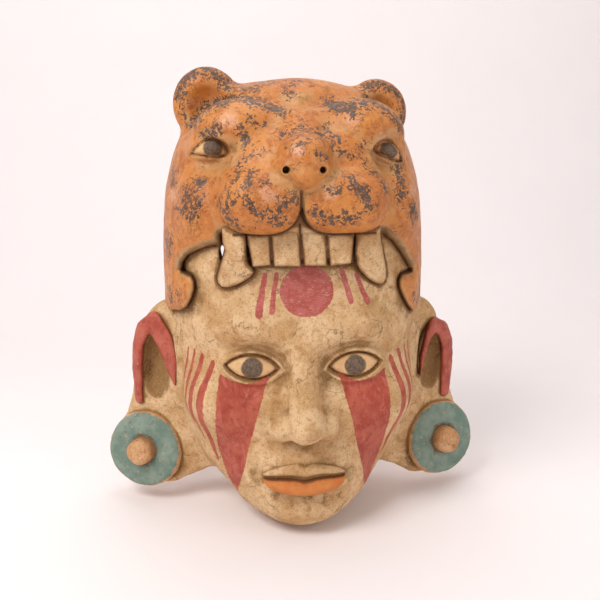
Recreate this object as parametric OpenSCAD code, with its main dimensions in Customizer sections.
// Fired-clay wall mask: a human face looking out of the open jaws of a big cat.
// Frame: X to the viewer's right, -Y out of the face, +Z up; the origin is the bottom centre of the mask's box.
// Inside each drawing the back rim lies in the plane y = 0. All sizes are in millimetres.

/* [Size] */
// Height from the chin to the tips of the cat's ears; everything else is scaled with it
mask_h = 204; // [150:1:260]
// Thickness of the face wall
wall = 8; // [6:0.5:10]

/* [Ear ornaments] */
// Radius of the painted ear spools
spool_r = 18; // [15:0.5:19]
// Thickness of the ear spools
spool_t = 7; // [5:0.5:9]
// Radius of the clay pellet in the middle of each spool
boss_r = 6.2; // [4:0.2:7]

/* [Hanging] */
// Radius of the two holes for a hanging wire
hang_r = 2; // [1.5:0.25:3]
// Distance of each hole from the middle
hang_x = 14; // [8:1:18]

/* [Teeth] */
// Width of one front tooth
tooth_w = 9.2; // [7:0.2:9.4]
// Length of the front teeth below the gum
tooth_l = 12; // [8:0.5:14]

/* [Hidden] */

normal_h = 204;             // the sizes below are for a mask of this height
unit = mask_h / normal_h;
rim_y = 40.5;               // from the middle of the box back to the rim
lap = 0.4;                  // how deep one clay piece is pressed into the next

buff = [0.78, 0.64, 0.45];
ochre = [0.80, 0.49, 0.24];
red = [0.70, 0.30, 0.24];
teal = [0.49, 0.60, 0.54];
iris = [0.38, 0.33, 0.30];

// ---- Head form, shared by both clay walls ----
mid_z = 110;                // the level where the head is widest
plan = 2.5;                 // squareness of a level cut: 2 is an ellipse
// Half width, depth, height above the widest level, and height below it
face_size = [54.5, 61, 81, 110];
helmet_size = [60.5, 65, 89, 110];

function thinner(size, t) = [for (v = size) v - t];
function signed_pow(v, e) = sign(v) * pow(abs(v), e);
function ease(v) = let (t = min(1, max(0, v))) t * t * (3 - 2 * t);
function between(a, b, t) = a + (b - a) * t;
// The other coordinate of a rounded unit curve of the given squareness
function reach(v, e) = pow(max(0, 1 - pow(abs(v), e)), 1 / e);

function level(z, size) = (z - mid_z) / (z > mid_z ? size[2] : size[3]);
function half_width(z, size) = size[0] * reach(level(z, size), z > mid_z ? 3.2 : 2.9);
function half_depth(z, size) = size[1] * reach(level(z, size), z > mid_z ? 3.2 : 5);
// A point of the head form, in the direction theta round the vertical
function form_point(theta, z, size) =
    [half_width(z, size) * signed_pow(sin(theta), 2 / plan),
     -half_depth(z, size) * signed_pow(cos(theta), 2 / plan), z];
// How far forward the head form stands at x, z
function form_y(x, z, size) =
    -half_depth(z, size) * reach(x / max(0.01, half_width(z, size)), plan);

// A soft lump on the front, and the same lump on both sides
function lump(x, z, at, spread, rise) =
    rise * exp(-pow((x - at[0]) / spread[0], 2) - pow((z - at[1]) / spread[1], 2));
function twin(x, z, at, spread, rise) = lump(abs(x), z, at, spread, rise);

// ---- Human face, laid out on thirds from the chin ----
third = 46;
nose_base = third;
brow = nose_base + third;
eye_z = brow - 13;
eye_x = 22;
mouth_z = nose_base - third / 3;
chin_drop = 4.5;

function features(x, z) =
    lump(x, z, [0, 9], [17, 9], 16)                              // chin
    + lump(x, z, [0, mouth_z], [20, 14], 7)                      // mouth mound
    + lump(x, z, [0, nose_base + 8], [8, 8], 14)                 // nose tip
    + twin(x, z, [9, nose_base + 7], [5, 6], 6)                  // nostril wings
    + lump(x, z, [0, nose_base + 25], [7, 16], 10)               // nose bridge
    + lump(x, z, [0, brow + 3], [30, 7], 3)                      // brow
    + twin(x, z, [33, eye_z - 17], [13, 10], 4)                  // cheekbones
    - twin(x, z, [eye_x, eye_z], [12, 8], 4);                    // eye sockets
function face_y(x, z) = form_y(x, z, face_size) - features(x, z);
// Under the jaw the wall rises towards the back and dips to the chin, so the mask stands on its chin.
function jaw_rise(y, z) = 15 * ease(1 - z / 60) * ease(1 + y / 50) - chin_drop * ease(1 - z / 24);
function face_point(theta, z, t) =
    let (p = form_point(theta, z, thinner(face_size, t)))
    [p.x, p.y - (t == 0 ? 1 : 0.5) * features(p.x, z) * ease(-p.y / 20), z + jaw_rise(p.y, z)];

// Top edge of the face wall: under the cat's palate, with a slit left open beside each fang
slit_angle = 37;
function face_top(theta) = 143 - 27 * ease(2 - abs(abs(theta) - slit_angle) / 4) - 9 * ease((abs(theta) - 44) / 20);

// ---- Cat helmet ----
function snout(x, z) =
    twin(x, z, [24, 177], [16, 11], 7)                           // brow domes
    + twin(x, z, [46, 140], [12, 16], 3)                         // cheeks
    + lump(x, z, [0, 152], [26, 20], 8)                          // root of the snout
    - twin(x, z, [39, 164], [9, 6], 2);                          // eye sockets
function helmet_y(x, z) = form_y(x, z, helmet_size) - snout(x, z);
function helmet_point(theta, z, t) =
    let (p = t == 0 ? form_point(theta, z, helmet_size) : form_point(theta, z, thinner(face_size, t)))
    [p.x, p.y - (t == 0 ? 1 : 0.5) * snout(p.x, z) * ease(-p.y / 20), z];
// Bottom edge of the helmet: the upper jaw in front, the mouth corners, then down beside the face
function helmet_bottom(theta) =
    let (a = abs(theta))
    a < 33 ? 134 : a < 46 ? between(134, 124, ease((a - 33) / 13)) : between(124, 97, ease((a - 46) / 12));
hang_y = -9;                // from the rim plane to the hanging holes

module in_place() scale(unit) translate([0, rim_y, 0]) children();

// Closed clay wall between an outer and an inner skin. Rows run from edge to edge, and a row of
// zero width makes a pole; columns run from rim to rim.
module clay_wall(outer, inner, rows, cols, low_pole, high_pole) {
    w = cols + 1;
    n = (rows + 1) * w;
    // Columns lie closer together in front
    function direction(u) = asin(signed_pow(sin(90 * (0.7 * u + 0.3 * pow(u, 3))), plan / 2));
    function at(side, r, c) =
        side * n + r * w + ((r == 0 && low_pole) || (r == rows && high_pole) ? 0 : c);
    function tri(a, b, c) = a == b || b == c || c == a ? [] : [[a, b, c]];
    function quad(a, b, c, d) = concat(tri(a, b, c), tri(a, c, d));
    function facing(out, q) = out ? quad(q[0], q[1], q[2], q[3]) : quad(q[3], q[2], q[1], q[0]);
    skins = [for (r = [0:rows - 1], c = [0:cols - 1], side = [0, 1])
        each facing(side == 0, [at(side, r, c), at(side, r + 1, c), at(side, r + 1, c + 1), at(side, r, c + 1)])];
    rims = [for (r = [0:rows - 1], c = [0, cols])
        each facing(c == 0, [at(0, r, c), at(1, r, c), at(1, r + 1, c), at(0, r + 1, c)])];
    ends = [for (c = [0:cols - 1], r = [0, rows]) if (!(r == 0 ? low_pole : high_pole))
        each facing(r == 0, [at(0, r, c), at(0, r, c + 1), at(1, r, c + 1), at(1, r, c)])];
    polyhedron(
        points = concat(
            [for (r = [0:rows], c = [0:cols]) outer(r / rows, direction(2 * c / cols - 1))],
            [for (r = [0:rows], c = [0:cols]) inner(r / rows, direction(2 * c / cols - 1))]),
        faces = concat(skins, rims, ends), convexity = 10);
}

// A pad of clay laid on a surface: an oval outline, turned and bent, rising to its middle.
module pad(at, size, rise, ground, turn = 0, bend = 0, fullness = 2, sink = lap, rings = 5, sectors = 24) {
    function place(s, k, front) =
        let (a = 360 * k / sectors,
             u = size[0] * s * cos(a),
             v = size[1] * s * sin(a) + bend * pow(u / size[0], 2),
             x = at[0] + u * cos(turn) - v * sin(turn),
             z = at[1] + u * sin(turn) + v * cos(turn))
        [x, ground(x, z) + (front ? -rise * reach(s, fullness) : sink), z];
    function index(ring, k, front) =
        ring == 0 ? (front ? 0 : 1)
        : 2 + (front ? ring - 1 : rings + ring - 1) * sectors + k % sectors;
    grid = concat(
        [place(0, 0, true), place(0, 0, false)],
        [for (front = [true, false], ring = [1:rings], k = [0:sectors - 1])
            place(sin(90 * ring / rings), k, front)]);
    caps = [for (k = [0:sectors - 1], front = [true, false])
        let (b = index(1, k, front), c = index(1, k + 1, front), o = index(0, 0, front))
        front ? [o, c, b] : [o, b, c]];
    bands = [for (ring = [1:rings - 1], k = [0:sectors - 1], front = [true, false])
        let (a = index(ring, k, front), b = index(ring + 1, k, front),
             c = index(ring + 1, k + 1, front), d = index(ring, k + 1, front))
        each front ? [[a, d, c], [a, c, b]] : [[a, b, c], [a, c, d]]];
    edge = [for (k = [0:sectors - 1])
        let (a = index(rings, k, true), b = index(rings, k, false),
             c = index(rings, k + 1, false), d = index(rings, k + 1, true))
        each [[a, d, c], [a, c, b]]];
    polyhedron(points = grid, faces = concat(caps, bands, edge), convexity = 6);
}

// A rolled coil of clay along a path of points; sizes are [half width, half thickness] at each one.
module coil(path, sizes, slant = 0, sectors = 16) {
    last = len(path) - 1;
    function run(i) = let (d = path[min(last, i + 1)] - path[max(0, i - 1)]) d / norm(d);
    function place(i, k) =
        let (t = run(i),
             side = cross(t, [0, 1, 0]),
             w = side / norm(side),
             n = cross(w, t),
             a = 360 * k / sectors,
             p = sizes[i][0] * cos(a) * w + sizes[i][1] * sin(a) * n)
        path[i] + p + [0, slant * p.x, 0];
    ends = [path[0] - run(0) * 0.4 * sizes[0][1], path[last] + run(last) * 0.4 * sizes[last][1]];
    points = concat(ends, [for (i = [0:last], k = [0:sectors - 1]) place(i, k)]);
    function index(i, k) = 2 + i * sectors + k % sectors;
    caps = [for (k = [0:sectors - 1])
        each [[0, index(0, k), index(0, k + 1)], [1, index(last, k + 1), index(last, k)]]];
    skin = [for (i = [0:last - 1], k = [0:sectors - 1])
        each [[index(i, k), index(i + 1, k), index(i + 1, k + 1)],
              [index(i, k), index(i + 1, k + 1), index(i, k + 1)]]];
    polyhedron(points = points, faces = concat(caps, skin), convexity = 6);
}

// ---- Human face ----
// Rows rise evenly to the brow, then spread up to the shaped top edge
function face_row(v, theta, low) =
    v < 0.78 ? between(low, 108, 1 - cos(90 * pow(v / 0.78, 0.85)))
    : between(108, face_top(theta), (v - 0.78) / 0.22);
module face_shell() color(buff) in_place()
    clay_wall(
        function (v, theta) face_point(theta, face_row(v, theta, 0), 0),
        function (v, theta) face_point(theta, face_row(v, theta, wall), wall),
        32, 50, true, false);

module eye(side) color(iris) in_place()
    pad([side * eye_x, eye_z], [11, 5.5], 2.6, function (x, z) face_y(x, z), turn = side * 4);
module eye_left() eye(-1);
module eye_right() eye(1);

module upper_lip() color(buff) in_place()
    pad([0, mouth_z + 4], [19, 3.6], 3.6, function (x, z) face_y(x, z), bend = -3);
module lower_lip() color(ochre) in_place()
    pad([0, mouth_z - 4.2], [17, 4.4], 5, function (x, z) face_y(x, z), bend = 2);

// ---- Human ears and spools ----
ear_path = [[56.5, -27, 60], [58, -27, 70], [60, -25, 80], [64.5, -21.5, 87], [69.5, -18.5, 86],
            [73.5, -16.5, 77], [75.5, -15, 64], [76, -14.5, 50]];
ear_sizes = [[1.2, 3], [2.8, 5], [3.6, 6], [4.2, 6], [3.8, 5.5], [2.9, 5], [2.7, 4.5], [2.2, 3.5]];
lobe_path = [[61, -18, 84], [64, -17, 75], [65, -16, 62], [66, -16, 51], [64.5, -16, 38],
             [63, -16, 26], [61, -16, 15], [59, -16, 9], [58, -16, 5.5]];
lobe_sizes = [[2.5, 3], [9, 4], [12.5, 4.5], [15, 5], [21, 5.5], [23.5, 5.5], [21.5, 5.5], [15, 5], [7, 3]];
spool_at = [72, -18.5, 26];
spool_turn = 20;            // how far each spool faces outward
spool_tilt = 8;             // and upward

function mirrored(points, side) = [for (p = points) [side * p.x, p.y, p.z]];

module ear(side) color(red) in_place() coil(mirrored(ear_path, side), ear_sizes);
module ear_left() ear(-1);
module ear_right() ear(1);

module ear_lobe(side) color(buff) in_place()
    coil(mirrored(lobe_path, side), lobe_sizes, slant = side * 0.36, sectors = 24);
module ear_lobe_left() ear_lobe(-1);
module ear_lobe_right() ear_lobe(1);

// Out of the spool's back: local z is its axis, pointing forward.
module at_spool(side) in_place()
    translate([side * spool_at.x, spool_at.y, spool_at.z])
        rotate([0, 0, side * spool_turn]) rotate([90 - spool_tilt, 0, 0]) children();

dome_r = 60;                // radius of the spool's domed face
boss_hole = 3;              // depth of the seat for the pellet
module ear_spool(side) color(teal) at_spool(side)
    difference() {
        intersection() {
            cylinder(r = spool_r, h = spool_t, $fn = 96);
            translate([0, 0, spool_t - dome_r]) sphere(r = dome_r, $fn = 180);
        }
        translate([0, 0, spool_t - boss_hole]) cylinder(r = boss_r, h = 2 * boss_hole, $fn = 64);
    }
module ear_spool_left() ear_spool(-1);
module ear_spool_right() ear_spool(1);

module spool_boss(side) color(buff) at_spool(side)
    translate([0, 0, spool_t - boss_hole]) {
        cylinder(r = boss_r, h = boss_hole + 3, $fn = 64);
        intersection() {
            cylinder(r = boss_r, h = boss_hole + 7, $fn = 64);
            translate([0, 0, boss_hole + 5 - 9]) sphere(r = 9, $fn = 96);
        }
    }
module spool_boss_left() spool_boss(-1);
module spool_boss_right() spool_boss(1);

// ---- Cat ----
module cat_helmet() color(ochre) in_place()
    difference() {
        clay_wall(
            function (v, theta) helmet_point(theta, between(helmet_bottom(theta), 199, sin(90 * v)), 0),
            function (v, theta) helmet_point(theta, between(helmet_bottom(theta), 191 - lap, sin(90 * v)), lap),
            18, 46, false, true);
        for (side = [-1, 1]) translate([side * hang_x, hang_y, 180]) cylinder(r = hang_r, h = 40, $fn = 32);
    }

// A cupped half disc set on the crown
crown_turn = 38;
module cat_ear(side) color(ochre) in_place()
    translate([side * 38, -15, 187.5]) rotate([0, side * crown_turn, 0])
        intersection() {
            rotate([-90, 0, 0]) difference() {
                cylinder(r = 16.5, h = 9, $fn = 96);
                translate([0, 0, -13.5]) sphere(r = 18, $fn = 96);
            }
            translate([-20, -1, -4]) cube([40, 20, 24]);
        }
module cat_ear_left() cat_ear(-1);
module cat_ear_right() cat_ear(1);

module cat_eye(side) color(iris) in_place()
    pad([side * 37, 167], [7.5, 5], 3, function (x, z) helmet_y(x, z), turn = side * 8);
module cat_eye_left() cat_eye(-1);
module cat_eye_right() cat_eye(1);

// The muzzle pads are also cut, sunk deeper, out of the nose that is fitted round them.
module muzzle_form(side, sink)
    pad([side * 17, 149], [17, 12], 12, function (x, z) helmet_y(x, z), side * -14, 0, 2.3, sink);
module muzzle_pad_left() color(ochre) in_place() muzzle_form(-1, lap);
module muzzle_pad_right() color(ochre) in_place() muzzle_form(1, lap);

nostril = [6.5, 162];
module cat_nose() color(ochre) in_place()
    difference() {
        pad([0, 164.5], [12, 11], 13, function (x, z) helmet_y(x, z) + 3 * ease((z - 156) / 18), fullness = 2.4);
        for (side = [-1, 1]) {
            muzzle_form(side, 6);
            translate([side * nostril.x, -72, nostril.y]) rotate([90, 0, 0]) cylinder(r = 1.6, h = 30, $fn = 32);
        }
    }

module gum_strip() color(buff) in_place()
    difference() {
        pad([0, 139.5], [26, 4.8], 7.5, function (x, z) helmet_y(x, z), fullness = 3, sectors = 36);
        for (i = [1:4]) tooth_form(i);
    }

tooth_top = 139;
tooth_t = 6;
module tooth_form(i)
    let (x = (i - 2.5) * (tooth_w + 0.5), corner = 2.2)
    translate([x, helmet_y(x, tooth_top) + 1.5, tooth_top]) rotate([90, 0, x * 1.1])
        linear_extrude(height = tooth_t) union() {
            translate([-tooth_w / 2, -tooth_l]) square([tooth_w, tooth_l]);
            translate([corner - tooth_w / 2, -tooth_l]) circle(r = corner, $fn = 40);
            translate([tooth_w / 2 - corner, -tooth_l]) circle(r = corner, $fn = 40);
            translate([corner - tooth_w / 2, -tooth_l - corner]) square([tooth_w - 2 * corner, corner + 1]);
        }
module front_tooth_1() color(buff) in_place() tooth_form(1);
module front_tooth_2() color(buff) in_place() tooth_form(2);
module front_tooth_3() color(buff) in_place() tooth_form(3);
module front_tooth_4() color(buff) in_place() tooth_form(4);

fang_path = [[25.5, -71, 141], [26, -71, 134], [28, -69.5, 126], [31, -66, 118], [32.5, -63.5, 113.5]];
fang_sizes = [[5, 4.5], [5.8, 4.8], [4.6, 4.2], [2.6, 2.8], [0.8, 1]];
module fang(side) color(buff) in_place() coil(mirrored(fang_path, side), fang_sizes);
module fang_left() fang(-1);
module fang_right() fang(1);

flap_path = [[57.5, -27, 121], [57.5, -30, 114], [56.5, -33.5, 107], [54.5, -37, 101], [52, -39.5, 98]];
flap_sizes = [[2.5, 4], [4.4, 6], [4.8, 6.5], [4, 5], [1.6, 2.5]];
module jaw_flap(side) color(ochre) in_place() coil(mirrored(flap_path, side), flap_sizes);
module jaw_flap_left() jaw_flap(-1);
module jaw_flap_right() jaw_flap(1);

face_shell();
eye_left();
eye_right();
upper_lip();
lower_lip();
ear_left();
ear_right();
ear_lobe_left();
ear_lobe_right();
ear_spool_left();
ear_spool_right();
spool_boss_left();
spool_boss_right();
cat_helmet();
cat_ear_left();
cat_ear_right();
cat_eye_left();
cat_eye_right();
cat_nose();
muzzle_pad_left();
muzzle_pad_right();
gum_strip();
front_tooth_1();
front_tooth_2();
front_tooth_3();
front_tooth_4();
fang_left();
fang_right();
jaw_flap_left();
jaw_flap_right();
